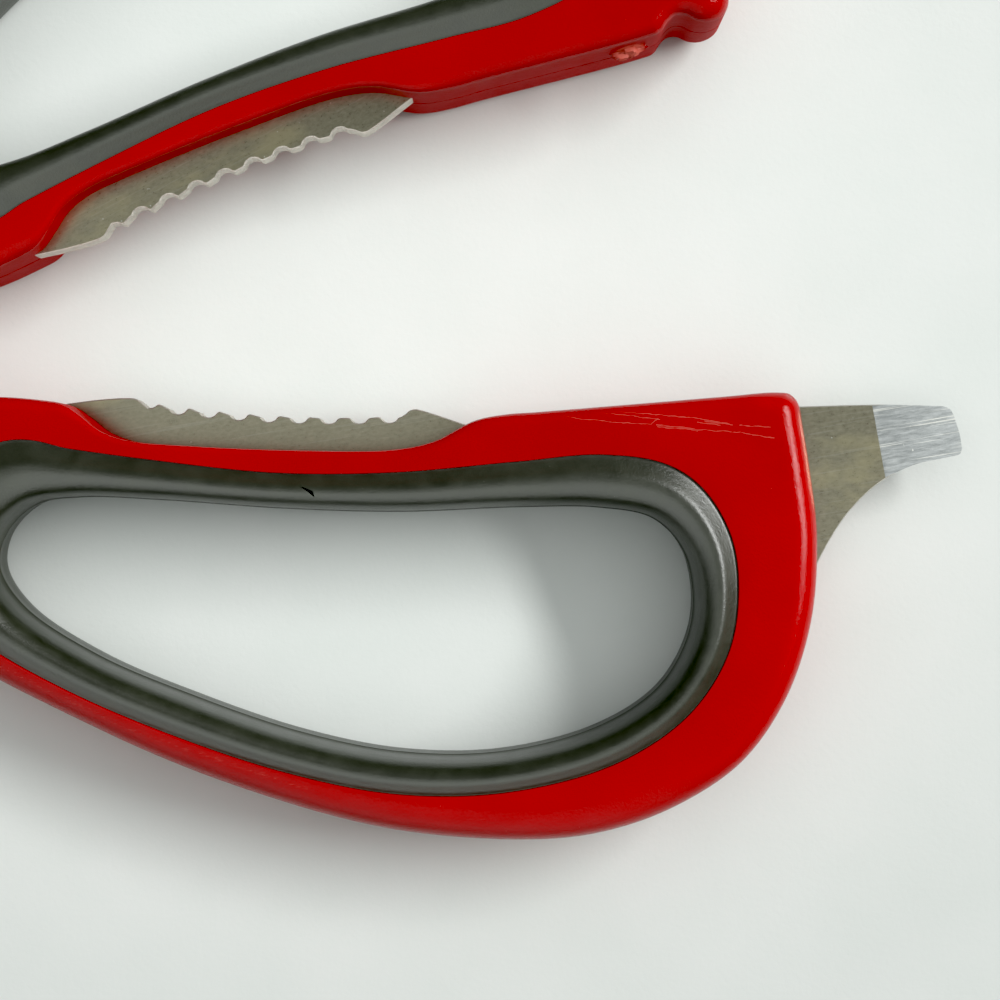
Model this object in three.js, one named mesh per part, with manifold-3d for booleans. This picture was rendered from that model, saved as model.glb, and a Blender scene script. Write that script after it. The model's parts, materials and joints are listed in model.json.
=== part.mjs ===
// Take-apart kitchen and poultry shears: two crossed stainless blades on a lug-headed stud, each blade
// running on as a tang inside a two-shell plastic handle with a soft liner round its finger loop.
// Millimetres, +Z up. The origin is on the pivot axis, at the flat underside of the stud's foot.
// Handles point along +X, blades along -X. Each half is drawn once, in half A's own plan with z = 0
// on the plane where the blades meet, and half B is the same half turned over about the X axis.
import * as THREE from 'three';
import { mergeVertices } from 'three/addons/utils/BufferGeometryUtils.js';
import Module from 'manifold-3d';

const wasm = await Module();
wasm.setup();

// ---- driving dimensions ----
const MEETING_Z = 4.7; // height of the blades' meeting plane above the stud's foot
const REST_OPENING = 19; // degrees between the halves as modelled
const RELEASE_OPENING = 95; // degrees between the halves when the lugs line up with the keyhole
const GAP = 0.3; // clearance between separate pieces

const PLATE_FACE = 0.1; // from the meeting plane to a blade's inner face
const PLATE_THICK = 2.4;
const DISC_RADIUS = 11;
const HANDLE_HALF = 6; // half the handle's thickness
const HANDLE_EDGE = 1.8; // rounding of the handle's outer edge
const LINER_HALF = 6.8; // the soft liner stands a little proud of the shells
const LINER_EDGE = 1.3;
const LINER_WALL = 1.8; // liner thickness on the inside of the loop
const FLANGE_Z = 4.8; // height above mid-plane where the liner's flanges begin

const JOURNAL_RADIUS = 4;
const LUG_REACH = 6.5;
const LUG_HALF_WIDTH = 2.5;
const LUG_ANGLE = 90; // degrees, direction of the lugs on half A
const LUG_BOTTOM = 2.6;
const LUG_TOP = 4.4;
const FOOT_RADIUS = 5.5;
const FOOT_THICK = 1.2;
const FOOT_CHAMFER = 0.4;
const WASHER_RADIUS = 7;
const WASHER_THICK = 0.8;
const SEAT_GAP = 0.1; // between the washer and the foot below it

const EDGE_Y = -1; // cutting edge, just across the centre line
const BEVEL_WIDTH = 7;
const EDGE_LAND = 0.4; // thickness left at the cutting edge
const DRIVER_START = [119.8, -5]; // where the driver's ground faces begin
const DRIVER_SLANT = 10; // degrees, lean of the line where they begin
const DRIVER_RUN = 8.6;
const DRIVER_LOSS = 0.7; // thickness taken off each face at the driver's tip
const HEEL_X = -12;
const TIP_X = -102;
const NOTCH_X = -21;
const NOTCH_RADIUS = 2.6;

const TOOTH_COUNT = 9; // gullets in the jar and nut gripping edge
const TOOTH_START = 46.75;
const TOOTH_PITCH = 3.02;
const GULLET_HALF = 0.95;
const GULLET_DEPTH = 0.55;
const CREST_LOW = [66.5, -2.58]; // lowest point of the slightly hollow line along the tooth tops
const CREST_CURVE = 0.0037;

const PEG_RADIUS = 1.7;
const PEG_PLACES = [[23.5, -8.5], [107.4, -9.5]];
const PEG_SOCKET = 1.6; // depth of a peg below the tang
const LIFTER_PLACE = [105.6, -0.5]; // groove behind the lid-lifting lip on half B
const LIFTER_RADIUS = 1.6;

// Finger-loop opening: x, y and the width of the liner seen on the handle's face there.
const LOOP = [
  [101.2, -20.9, 3.8], [100.2, -15.9, 4.4], [97.2, -12.7, 5.1], [92, -11.6, 5.1], [84, -11.5, 4.4],
  [72, -11.9, 3.8], [60, -11.5, 3.4], [48, -10.6, 3.8], [40, -10.3, 4.7], [35.6, -11, 6.5],
  [32.6, -13.8, 7.3], [31.8, -17.2, 5.6], [34.2, -21.2, 4.2], [41.5, -26.1, 3.5], [51, -30.2, 3.5],
  [62, -34, 3.4], [72, -36, 3.4], [82, -36, 3.3], [91.5, -33.6, 3.3], [97.5, -29.8, 3.3],
  [100.4, -25.2, 3.6],
];
const LOOP_STEPS = 44;

// ---- materials ----
const paint = (color, roughness, metalness) => new THREE.MeshStandardMaterial({ color, roughness, metalness });
const steel = paint(0x87826c, 0.42, 1);
const studSteel = paint(0xa9a79c, 0.35, 1);
const redPlastic = paint(0xb00505, 0.3, 0);
const softRubber = paint(0x5f6152, 0.55, 0);

// ---- solids ----
function solid(geometry) {
  const bare = geometry.clone();
  bare.deleteAttribute('normal');
  bare.deleteAttribute('uv');
  const merged = mergeVertices(bare, 1e-4);
  return new wasm.Manifold(new wasm.Mesh({
    numProp: 3,
    vertProperties: merged.attributes.position.array,
    triVerts: new Uint32Array(merged.index.array),
  }));
}

function toGeometry(manifold) {
  const mesh = manifold.getMesh();
  const geometry = new THREE.BufferGeometry();
  geometry.setAttribute('position', new THREE.BufferAttribute(new Float32Array(mesh.vertProperties), 3));
  geometry.setIndex(new THREE.BufferAttribute(new Uint32Array(mesh.triVerts), 1));
  geometry.computeVertexNormals();
  return geometry;
}

function slab(shape, bottom, top, curveSegments = 4) {
  const geometry = new THREE.ExtrudeGeometry(shape, {
    depth: top - bottom,
    bevelEnabled: false,
    curveSegments,
  });
  return geometry.translate(0, 0, bottom);
}

function roundedSlab(shape, half, edge) {
  const geometry = new THREE.ExtrudeGeometry(shape, {
    depth: 2 * (half - edge),
    bevelThickness: edge,
    bevelSize: edge,
    bevelOffset: -edge,
    bevelSegments: 2,
    curveSegments: 3,
  });
  return geometry.translate(0, 0, edge - half);
}

function disc(x, y, radius, sides = 20) {
  const corners = Array.from({ length: sides }, (_, i) => {
    const angle = (2 * Math.PI * i) / sides;
    return new THREE.Vector2(x + radius * Math.cos(angle), y + radius * Math.sin(angle));
  });
  return new THREE.Shape(corners);
}

// ---- outlines ----
// The loop opening moved out from its own edge: by a part of the liner's face width, plus a distance.
function loopOutline(widthShare, distance) {
  const edge = new THREE.CatmullRomCurve3(LOOP.map(([x, y]) => new THREE.Vector3(x, y, 0)), true);
  const width = new THREE.CatmullRomCurve3(LOOP.map(([, , w], i) => new THREE.Vector3(i, w, 0)), true);
  const points = [];
  for (let step = 0; step < LOOP_STEPS; step += 1) {
    const t = step / LOOP_STEPS;
    const place = edge.getPoint(t);
    const along = edge.getTangent(t);
    const reach = widthShare * width.getPoint(t).y + distance;
    points.push(new THREE.Vector2(place.x + along.y * reach, place.y - along.x * reach));
  }
  return points;
}

function handleOutline() {
  const shape = new THREE.Shape();
  const curve = (...points) => shape.splineThru(points.map(([x, y]) => new THREE.Vector2(x, y)));
  shape.moveTo(15.6, -6);
  curve([17.5, -2.6], [23, -0.9], [32, -0.5], [37, -0.9], [39.6, -1.4], [42.6, -3.8], [45.4, -4.9]);
  curve([52, -5.5], [62, -5.9], [71.5, -5.9]);
  curve([75.5, -5.1], [79.5, -3.1], [82.5, -2.55]);
  shape.lineTo(110.4, -0.35);
  shape.lineTo(111.5, -2.2);
  curve([113, -14.6], [112.4, -22.8], [109.9, -30.4], [105.5, -36.7], [99, -41.1], [85, -44.3]);
  curve([70.7, -43.1], [53.9, -38.2], [40.2, -32.2], [26.5, -24.6], [18.4, -16.9], [15.6, -6]);
  return shape;
}

function gullets(path) {
  const gulletRadius = (GULLET_HALF ** 2 + GULLET_DEPTH ** 2) / (2 * GULLET_DEPTH);
  const sweep = Math.asin(GULLET_HALF / gulletRadius);
  for (let tooth = TOOTH_COUNT - 1; tooth >= 0; tooth -= 1) {
    const x = TOOTH_START + tooth * TOOTH_PITCH;
    const centre = crestLine(x) - GULLET_DEPTH + gulletRadius;
    path.absarc(x, centre, gulletRadius, -Math.PI / 2 + sweep, -Math.PI / 2 - sweep, true);
  }
}

// Height of the tooth tops: the gripping edge is slightly hollow, so that a round cap sits in it.
const crestLine = (x) => CREST_LOW[1] + CREST_CURVE * (x - CREST_LOW[0]) ** 2;

// One blade with its tang, in plan, anticlockwise from the top of the tang's neck.
function bladeOutline(hasDriver) {
  const shape = new THREE.Shape();
  const curve = (...points) => shape.splineThru(points.map(([x, y]) => new THREE.Vector2(x, y)));
  const onDisc = (degrees) => THREE.MathUtils.degToRad(degrees);
  shape.absarc(0, 0, DISC_RADIUS, onDisc(-20), onDisc(95), false);
  curve([-16, 11.2], [-40, 10.5], [-66, 8.2], [-86, 4.9], [TIP_X + 1.2, 0.6]);
  curve([TIP_X, -0.1], [TIP_X + 2, EDGE_Y]);
  shape.lineTo(NOTCH_X - NOTCH_RADIUS, EDGE_Y);
  shape.absarc(NOTCH_X, EDGE_Y, NOTCH_RADIUS, Math.PI, 0, true);
  shape.lineTo(HEEL_X, EDGE_Y);
  shape.absarc(0, 0, DISC_RADIUS, onDisc(190), onDisc(300), false);
  curve([13, -11.6], [21, -13], [28, -12.4], [31, -8.8], [36, -7.6]);
  curve([48, -7.9], [57, -8.7], [66, -9.1], [97, -9]);
  curve([102.8, -10.6], [105.6, -14], [106.2, -18.6]);
  if (hasDriver) {
    shape.lineTo(113, -18.6);
    curve([114.9, -15], [116.9, -12.1], [119.9, -9.3], [123, -7.7], [127.9, -6.6]);
    curve([128.3, -6], [127.4, -2.4], [126.4, -1.7]);
    shape.lineTo(110, -1.7);
  } else {
    shape.lineTo(110.2, -18.6);
    shape.lineTo(110.2, -4);
  }
  curve([104, -3.4], [92, -4.4], [82, -4.3], [78.7, -3.35], [75.4, -2.3], [73.5, -1.75], [72.8, -1.95]);
  gullets(shape);
  shape.lineTo(45.2, -0.55);
  shape.lineTo(43.6, -0.5);
  shape.lineTo(38.6, -1);
  shape.lineTo(35.8, -3.6);
  shape.closePath();
  return shape;
}

// The slot moulded for the tang, open along the gripping edge and at the handle's front.
function tangPocket(hasDriver) {
  const endTop = hasDriver ? [[120, -1.1], [109.6, -1.1]] : [[110.7, -3.4]];
  const endBottom = hasDriver ? [120, -19.2] : [110.7, -19.2];
  const corners = [
    [10, -12.6], [21, -13.6], [28.4, -13.2], [31.6, -9.2], [36.2, -8.2], [48, -8.4], [57, -9.2],
    [66, -9.6], [96.8, -9.6], [102.4, -11.2], [104.9, -14.4], [105.5, -19.2], endBottom, ...endTop,
    [104, -2.9], [92, -3.9], [82, -3.8], [79, -2.9], [72, 1], [39, 1], [35.2, -3.1], [10, -3],
  ];
  return new THREE.Shape(corners.map(([x, y]) => new THREE.Vector2(x, y)));
}

// A round journal with two opposite lugs: the stud's head, and the keyhole that passes it.
function luggedPath(path, journal, halfWidth, reach) {
  const inner = Math.asin(halfWidth / journal);
  const outer = Math.asin(halfWidth / reach);
  path.absarc(0, 0, journal, inner, Math.PI - inner, false);
  path.absarc(0, 0, reach, Math.PI - outer, Math.PI + outer, false);
  path.absarc(0, 0, journal, Math.PI + inner, 2 * Math.PI - inner, false);
  path.absarc(0, 0, reach, -outer, outer, false);
  path.closePath();
  return path;
}

// ---- steel pieces ----
// The ground face on the outer side of the cutting edge, as a wedge that is taken off the plate.
function grindWedge() {
  const outerZ = -PLATE_FACE - PLATE_THICK;
  const edgeZ = -PLATE_FACE - EDGE_LAND;
  const slope = (outerZ - edgeZ) / BEVEL_WIDTH;
  const clear = 1;
  const section = new THREE.Shape([
    new THREE.Vector2(-clear, edgeZ - slope * clear),
    new THREE.Vector2(-clear, outerZ - clear),
    new THREE.Vector2(BEVEL_WIDTH - clear / slope, outerZ - clear),
  ]);
  const wedge = slab(section, 0, HEEL_X - TIP_X + 1);
  wedge.rotateX(Math.PI / 2).rotateZ(Math.PI / 2);
  return wedge.translate(TIP_X - 1, EDGE_Y, 0);
}

function bladeBlank(hasDriver, holes) {
  const shape = bladeOutline(hasDriver);
  shape.holes.push(...holes);
  for (const [x, y] of PEG_PLACES) {
    shape.holes.push(disc(x, y, PEG_RADIUS + GAP));
  }
  return solid(slab(shape, -PLATE_FACE - PLATE_THICK, -PLATE_FACE)).subtract(solid(grindWedge()));
}

// The screwdriver end is ground thin on both faces from a slanted line to its tip.
function driverWedges() {
  const halfThick = PLATE_THICK / 2;
  const past = DRIVER_RUN + 2;
  const section = new THREE.Shape([
    new THREE.Vector2(0, halfThick),
    new THREE.Vector2(past, halfThick - (DRIVER_LOSS * past) / DRIVER_RUN),
    new THREE.Vector2(past, PLATE_THICK),
    new THREE.Vector2(0, PLATE_THICK),
  ]);
  const wedge = slab(section, -8, 8).rotateX(Math.PI / 2).rotateZ(THREE.MathUtils.degToRad(DRIVER_SLANT));
  const upper = solid(wedge);
  const middle = -PLATE_FACE - halfThick;
  return [upper, upper.mirror([0, 0, 1])].map((half) => half.translate([...DRIVER_START, middle]));
}

function bladeA() {
  const journalHole = disc(0, 0, JOURNAL_RADIUS + GAP, 32);
  const [upper, lower] = driverWedges();
  return toGeometry(bladeBlank(true, [journalHole]).subtract(upper).subtract(lower));
}

function bladeB() {
  const keyhole = luggedPath(new THREE.Path(), JOURNAL_RADIUS + GAP, LUG_HALF_WIDTH + GAP, LUG_REACH + GAP);
  const turn = THREE.MathUtils.degToRad(RELEASE_OPENING - LUG_ANGLE);
  const corners = keyhole.getPoints(8).map((p) => p.rotateAround(new THREE.Vector2(), turn));
  return toGeometry(bladeBlank(false, [new THREE.Path(corners)]));
}

function pivotStud() {
  const foot = -MEETING_Z;
  const profile = [
    [0, foot], [FOOT_RADIUS - FOOT_CHAMFER, foot], [FOOT_RADIUS, foot + FOOT_CHAMFER],
    [FOOT_RADIUS, foot + FOOT_THICK], [JOURNAL_RADIUS, foot + FOOT_THICK],
    [JOURNAL_RADIUS, LUG_BOTTOM + 0.5], [0, LUG_BOTTOM + 0.5],
  ];
  const turned = new THREE.LatheGeometry(profile.map(([r, z]) => new THREE.Vector2(r, z)), 32);
  const head = luggedPath(new THREE.Shape(), JOURNAL_RADIUS, LUG_HALF_WIDTH, LUG_REACH);
  const lugs = slab(head, LUG_BOTTOM, LUG_TOP, 8).rotateZ(THREE.MathUtils.degToRad(LUG_ANGLE));
  return toGeometry(solid(turned.rotateX(Math.PI / 2)).add(solid(lugs)));
}

function studWasher() {
  const ring = disc(0, 0, WASHER_RADIUS, 32);
  ring.holes.push(disc(0, 0, JOURNAL_RADIUS + GAP, 32));
  const bottom = -MEETING_Z + FOOT_THICK + SEAT_GAP;
  return slab(ring, bottom, bottom + WASHER_THICK);
}

// ---- handle pieces ----
// Both shells as one body: rounded outside, bored for the loop, and rebated for the liner's flanges.
function handleBody(isA) {
  const outer = roundedSlab(handleOutline(), HANDLE_HALF, HANDLE_EDGE);
  const bore = slab(new THREE.Shape(loopOutline(0, LINER_WALL)), -HANDLE_HALF - 1, HANDLE_HALF + 1);
  const rebate = new THREE.Shape(loopOutline(1, 0));
  const frontRebate = slab(rebate, FLANGE_Z, HANDLE_HALF + 1);
  const backRebate = slab(rebate, -HANDLE_HALF - 1, -FLANGE_Z);
  const pocket = slab(tangPocket(isA), -PLATE_FACE - PLATE_THICK - GAP, -PLATE_FACE + GAP);
  let body = solid(outer);
  for (const cut of [bore, frontRebate, backRebate, pocket]) {
    body = body.subtract(solid(cut));
  }
  if (!isA) {
    const groove = slab(disc(...LIFTER_PLACE, LIFTER_RADIUS), -HANDLE_HALF - 1, HANDLE_HALF + 1);
    body = body.subtract(solid(groove));
  }
  return body;
}

// The two shells part at z = 0. Weld pegs on the upper shell pass through the tang into the lower one.
function handleShells(isA) {
  const body = handleBody(isA);
  const blockSize = 400;
  const half = (bottom, top) => {
    const block = new THREE.BoxGeometry(blockSize, blockSize, top - bottom);
    return solid(block.translate(0, 0, (bottom + top) / 2));
  };
  let upper = body.intersect(half(GAP / 2, 2 * HANDLE_HALF));
  let lower = body.intersect(half(-2 * HANDLE_HALF, -GAP / 2));
  const pegBottom = -PLATE_FACE - PLATE_THICK - PEG_SOCKET;
  for (const [x, y] of PEG_PLACES) {
    upper = upper.add(solid(slab(disc(x, y, PEG_RADIUS), pegBottom, 1)));
    lower = lower.subtract(solid(slab(disc(x, y, PEG_RADIUS + GAP), pegBottom - GAP, 1)));
  }
  return { upper: toGeometry(upper), lower: toGeometry(lower) };
}

function gripLiner() {
  const ring = new THREE.Shape(loopOutline(1, -GAP));
  ring.holes.push(new THREE.Path(loopOutline(0, 0)));
  const core = new THREE.Shape(loopOutline(1, 2));
  core.holes.push(new THREE.Path(loopOutline(0, LINER_WALL - GAP)));
  const body = solid(roundedSlab(ring, LINER_HALF, LINER_EDGE));
  return toGeometry(body.subtract(solid(slab(core, -FLANGE_Z - GAP, FLANGE_Z + GAP))));
}

// ---- assembly ----
function piece(name, geometry, material) {
  const mesh = new THREE.Mesh(geometry, material);
  mesh.name = name;
  return mesh;
}

function halfA() {
  const shells = handleShells(true);
  const group = new THREE.Group();
  group.add(
    piece('blade_a', bladeA(), steel),
    piece('front_shell_a', shells.upper, redPlastic),
    piece('back_shell_a', shells.lower, redPlastic),
    piece('grip_liner_a', gripLiner(), softRubber),
    piece('pivot_stud', pivotStud(), studSteel),
    piece('stud_washer', studWasher(), studSteel),
  );
  group.position.z = MEETING_Z;
  return group;
}

function halfB() {
  const shells = handleShells(false);
  const turnedOver = new THREE.Group();
  turnedOver.add(
    piece('blade_b', bladeB(), steel),
    piece('front_shell_b', shells.lower, redPlastic),
    piece('back_shell_b', shells.upper, redPlastic),
    piece('grip_liner_b', gripLiner(), softRubber),
  );
  turnedOver.rotation.x = Math.PI;
  const group = new THREE.Group();
  group.add(turnedOver);
  group.rotation.z = THREE.MathUtils.degToRad(REST_OPENING);
  group.position.z = MEETING_Z;
  return group;
}

const shears = new THREE.Group();
shears.add(halfA(), halfB());
export default shears;
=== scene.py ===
"""Looks for the take-apart shears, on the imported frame: a fine mesh and a procedural finish for every piece.

Plans are drawn in millimetres in a half's own frame: pivot at (0, 0), handle along +x, z = 0 where the
blades meet. Half B is the same half turned over about its length and opened by the hinge's rest angle.
"""
import json
import math

import bmesh
import bpy
import numpy as np
from mathutils import Matrix, Vector
from mathutils.geometry import delaunay_2d_cdt


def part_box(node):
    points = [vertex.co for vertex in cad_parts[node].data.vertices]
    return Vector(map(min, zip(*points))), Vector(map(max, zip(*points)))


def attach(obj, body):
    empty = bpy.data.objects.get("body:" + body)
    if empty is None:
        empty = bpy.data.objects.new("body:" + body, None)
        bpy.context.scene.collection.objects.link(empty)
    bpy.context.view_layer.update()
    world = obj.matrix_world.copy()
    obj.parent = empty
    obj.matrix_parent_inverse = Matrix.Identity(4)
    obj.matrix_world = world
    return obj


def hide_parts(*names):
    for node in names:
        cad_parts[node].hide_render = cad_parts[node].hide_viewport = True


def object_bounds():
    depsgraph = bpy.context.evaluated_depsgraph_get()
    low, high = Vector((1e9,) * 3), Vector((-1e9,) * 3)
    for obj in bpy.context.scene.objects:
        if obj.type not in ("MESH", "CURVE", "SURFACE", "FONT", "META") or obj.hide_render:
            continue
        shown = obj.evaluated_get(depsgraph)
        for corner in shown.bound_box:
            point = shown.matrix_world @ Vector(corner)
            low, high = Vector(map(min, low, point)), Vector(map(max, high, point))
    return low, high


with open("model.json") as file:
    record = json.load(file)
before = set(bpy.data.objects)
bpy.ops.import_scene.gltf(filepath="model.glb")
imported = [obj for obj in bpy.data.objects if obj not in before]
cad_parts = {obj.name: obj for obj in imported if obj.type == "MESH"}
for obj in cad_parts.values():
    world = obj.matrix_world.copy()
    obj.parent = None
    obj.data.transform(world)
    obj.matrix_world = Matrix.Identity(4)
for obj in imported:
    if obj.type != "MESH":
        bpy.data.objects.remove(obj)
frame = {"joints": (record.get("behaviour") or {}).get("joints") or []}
cad_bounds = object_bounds()

# ---- places taken from the frame ----
MM = 0.001
MEETING_HEIGHT = (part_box("blade_a")[1].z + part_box("blade_b")[0].z) / 2
CLOSED_ANGLE = frame["joints"][0]["range_deg"][0]  # the hinge's low limit, where the handles meet
REST_OPENING = math.radians(-CLOSED_ANGLE)
TO_METRES = Matrix.Translation((0, 0, MEETING_HEIGHT)) @ Matrix.Diagonal((MM, MM, MM, 1))
PLACE = {
    "a": TO_METRES,
    "b": TO_METRES @ Matrix.Rotation(REST_OPENING, 4, "Z") @ Matrix.Rotation(math.pi, 4, "X"),
}
FLOOR_HEIGHT = cad_bounds[0].z

# ---- driving dimensions, in millimetres ----
PLATE_LOW, PLATE_HIGH = -2.5, -0.1  # a blade's outer and inner faces
PLATE_CHAMFER = 0.1
DISC_RADIUS = 11
HANDLE_HALF = 6
PARTING_GAP = 0.03
PARTING_CHAMFER = 0.1
LIP_ROUND = 0.06  # rounding of the shell where it meets the liner
FLANGE_Z = 4.9
LINER_WALL = 1.75
LINER_CREST = 6.8
# The bead from the red shell to the finger's side: share of the width from the loop's edge, and height.
BEAD = (
    (1, 5.78), (0.97, 5.79), (0.94, 5.84), (0.86, 6.06), (0.77, 6.32), (0.7, 6.53), (0.66, 6.64),
    (0.62, 6.725), (0.58, 6.778), (0.53, LINER_CREST), (0.46, 6.79), (0.38, 6.68), (0.28, 6.42),
    (0.17, 5.95), (0.08, 5.2), (0.03, 4), (0.01, 1.6),
)
PEG_RADIUS = 1.7
PEG_REACH = 1.5  # how far a peg stands past the tang's outer face
PEG_PLACES = ((23.5, -8.5), (107.4, -9.5))
TIP_X = -102
EDGE_Y = -1
BEVELS = ((7, 1.98, 0.42), (0.9, 0.5, 0.08))  # width, rise and the land left at the edge, broad bevel first
NOTCH_X, NOTCH_RADIUS = -21, 2.6
TOOTH_COUNT, TOOTH_START, TOOTH_PITCH = 9, 46.75, 3.02
GULLET_HALF, GULLET_DEPTH = 0.98, 0.58
GULLET_SHAPE = ((0.92, 0.14), (0.55, 0.74), (0, 1), (-0.55, 0.74), (-0.92, 0.14), (-1.16, 0))
CREST_LOW, CREST_CURVE = (66.5, -2.56), 0.0037
JOURNAL_RADIUS, LUG_REACH, LUG_HALF_WIDTH = 4, 6.5, 2.5
RUNNING_GAP = 0.15
FOOT_RADIUS, FOOT_HEIGHT = 5.5, 1.2
HEAD_LOW, HEAD_HIGH = 2.6, 4.4
WASHER_RADIUS, WASHER_LOW, WASHER_HIGH = 7, -3.4, -2.6
RELEASE_OPENING = 95
SERRATION_PITCH, SERRATION_DEPTH = 1.1, 0.28
WORN_SHELL = "red_front_shell_a"
SCARRED_SHELL = "red_front_shell_b"
SCAR_PLACE, SCAR_SIZE = (100.6, -1, -1.75), (1.7, 0.75, 0.8)
NICK_PLACE = (63.4, -9.9)  # a small cut in half A's liner

# Finger-loop opening: x, y and the width of the liner seen on the handle's face there.
LOOP = (
    (101.2, -20.9, 3.8), (100.2, -15.9, 4.4), (97.2, -12.7, 5.1), (92, -11.6, 5.1), (84, -11.5, 4.4),
    (72, -11.9, 3.8), (60, -11.5, 3.4), (48, -10.6, 3.8), (40, -10.3, 4.7), (35.6, -11, 6.5),
    (32.6, -13.8, 7.3), (31.8, -17.2, 5.6), (34.2, -21.2, 4.2), (41.5, -26.1, 3.5), (51, -30.2, 3.5),
    (62, -34, 3.4), (72, -36, 3.4), (82, -36, 3.3), (91.5, -33.6, 3.3), (97.5, -29.8, 3.3),
    (100.4, -25.2, 3.6),
)
# Handle outline, clockwise from the front: block, window over the teeth, stop edge, end, loop side.
HANDLE_FRONT = (
    (15.6, -6), (17.3, -2.8), (23, -0.9), (32, -0.5), (37, -0.85), (39.4, -1.3), (41.2, -2.5),
    (43, -3.9), (45.6, -4.85), (52, -5.45), (62, -5.9), (71.5, -5.9), (75.5, -5.1), (79.5, -3.1),
    (82.5, -2.5), (86, -2.25),
)
HANDLE_END = {
    "a": ((104, -0.85), (108.9, -0.45), (110.4, -0.6), (111.2, -1.5), (111.6, -3.6)),
    "b": ((102.2, -0.95), (103.8, -1), (104.6, -1.6), (105.6, -2.05), (106.6, -1.8), (107.4, -1),
          (108.6, -0.45), (110.1, -0.6), (111.2, -1.7), (111.6, -3.6)),
}
HANDLE_LOOP_SIDE = (
    (112.3, -8), (113, -14.6), (112.4, -22.8), (109.9, -30.4), (105.5, -36.7), (99, -41.1),
    (92.2, -43.5), (85, -44.3), (70.6, -43.1), (53.9, -38.2), (40.2, -32.2), (26.5, -24.6),
    (18.6, -16.9), (15.8, -11),
)


# ---- plan curves ----
def catmull(points, closed=False, spacing=0.4):
    """Centripetal Catmull-Rom curve through the points, with rows about `spacing` apart in plan."""
    knots = np.array(points, float)
    if closed:
        knots = np.vstack([knots[-1], knots, knots[0], knots[1]])
    else:
        knots = np.vstack([2 * knots[0] - knots[1], knots, 2 * knots[-1] - knots[-2]])
    rows = []
    for p0, p1, p2, p3 in zip(knots, knots[1:], knots[2:], knots[3:]):
        t1 = np.linalg.norm((p1 - p0)[:2]) ** 0.5
        t2 = t1 + np.linalg.norm((p2 - p1)[:2]) ** 0.5
        t3 = t2 + np.linalg.norm((p3 - p2)[:2]) ** 0.5
        count = max(2, math.ceil(np.linalg.norm((p2 - p1)[:2]) / spacing))
        t = np.linspace(t1, t2, count, endpoint=False)[:, None]
        a1 = p0 + (p1 - p0) * t / t1
        a2 = p1 + (p2 - p1) * (t - t1) / (t2 - t1)
        a3 = p2 + (p3 - p2) * (t - t2) / (t3 - t2)
        b1 = a1 + (a2 - a1) * t / t2
        b2 = a2 + (a3 - a2) * (t - t1) / (t3 - t1)
        rows.append(b1 + (b2 - b1) * (t - t1) / (t2 - t1))
    if not closed:
        rows.append(knots[-2:-1])
    return np.vstack(rows)


class Pen:
    """Draws one closed plan outline from lines, curves and arcs."""

    def __init__(self):
        self.rows = []

    def line(self, *points):
        self.rows += [np.array(p, float) for p in points]

    def curve(self, *points, spacing=0.4):
        self.rows += list(catmull([self.rows[-1], *points], spacing=spacing)[1:])

    def arc(self, centre, radius, start, end, step=4):
        count = max(3, math.ceil(abs(end - start) / step))
        for angle in np.radians(np.linspace(start, end, count + 1)):
            self.rows.append(np.array(centre) + radius * np.array([math.cos(angle), math.sin(angle)]))

    def outline(self):
        rows = np.array(self.rows)
        keep = np.linalg.norm(rows - np.roll(rows, 1, axis=0), axis=1) > 1e-3
        return rows[keep]


def outward(outline):
    """Unit normals of a closed outline, pointing away from its inside."""
    along = np.roll(outline, -1, axis=0) - np.roll(outline, 1, axis=0)
    normal = np.stack([along[:, 1], -along[:, 0]], axis=1)
    normal /= np.linalg.norm(normal, axis=1)[:, None]
    return normal if signed_area(outline) > 0 else -normal


def signed_area(outline):
    x, y = outline[:, 0], outline[:, 1]
    return 0.5 * np.sum(x * np.roll(y, -1) - y * np.roll(x, -1))


def loop_rows():
    """The finger loop as one closed curve: its edge, the outward normal and the liner's face width."""
    rows = catmull(LOOP, closed=True, spacing=0.45)[::-1]
    edge = rows[:, :2]
    return edge, outward(edge), rows[:, 2]


def handle_outline(half):
    points = HANDLE_FRONT + HANDLE_END[half] + HANDLE_LOOP_SIDE
    return catmull(points, closed=True, spacing=0.45)[::-1]


def smooth_step(value, low, high):
    t = np.clip((value - low) / (high - low), 0, 1)
    return t * t * (3 - 2 * t)


def edge_rounding(outline):
    """Radius of the shell's outer edge: full on the loop side and the end, tighter on the stop side."""
    x, y = outline.T
    window = smooth_step(x, 37.5, 42) * (1 - smooth_step(x, 77, 84))
    stop = 1.5 - 0.8 * window
    loop_side = smooth_step(-y, 2 + 5 * window, 5.5 + 6 * window)
    end = smooth_step(x, 106, 111)
    full = 3.3 - 0.8 * smooth_step(x, 96, 110)
    return stop + (full - stop) * np.maximum(loop_side, end)


def distance(points, outline, carried=None):
    """Distance of each point to a closed outline, and the carried value at the nearest place on it."""
    start, end = outline, np.roll(outline, -1, axis=0)
    step = end - start
    length = (step ** 2).sum(1)
    best = np.full(len(points), 1e9)
    value = np.zeros(len(points))
    carried = np.zeros(len(outline)) if carried is None else carried
    carried_next = np.roll(carried, -1)
    for s, d, l, c0, c1 in zip(start, step, length, carried, carried_next):
        t = np.clip(((points - s) @ d) / l, 0, 1)
        gap = np.linalg.norm(points - s - t[:, None] * d, axis=1)
        closer = gap < best
        best[closer] = gap[closer]
        value[closer] = c0 + (c1 - c0) * t[closer]
    return best, value


def inside(points, outline):
    """Which points lie inside a closed outline."""
    x, y = points.T
    result = np.zeros(len(points), bool)
    for (x0, y0), (x1, y1) in zip(outline, np.roll(outline, -1, axis=0)):
        if y0 == y1:
            continue
        crosses = ((y0 > y) != (y1 > y)) & (x < (x1 - x0) * (y - y0) / (y1 - y0) + x0)
        result ^= crosses
    return result


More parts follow.
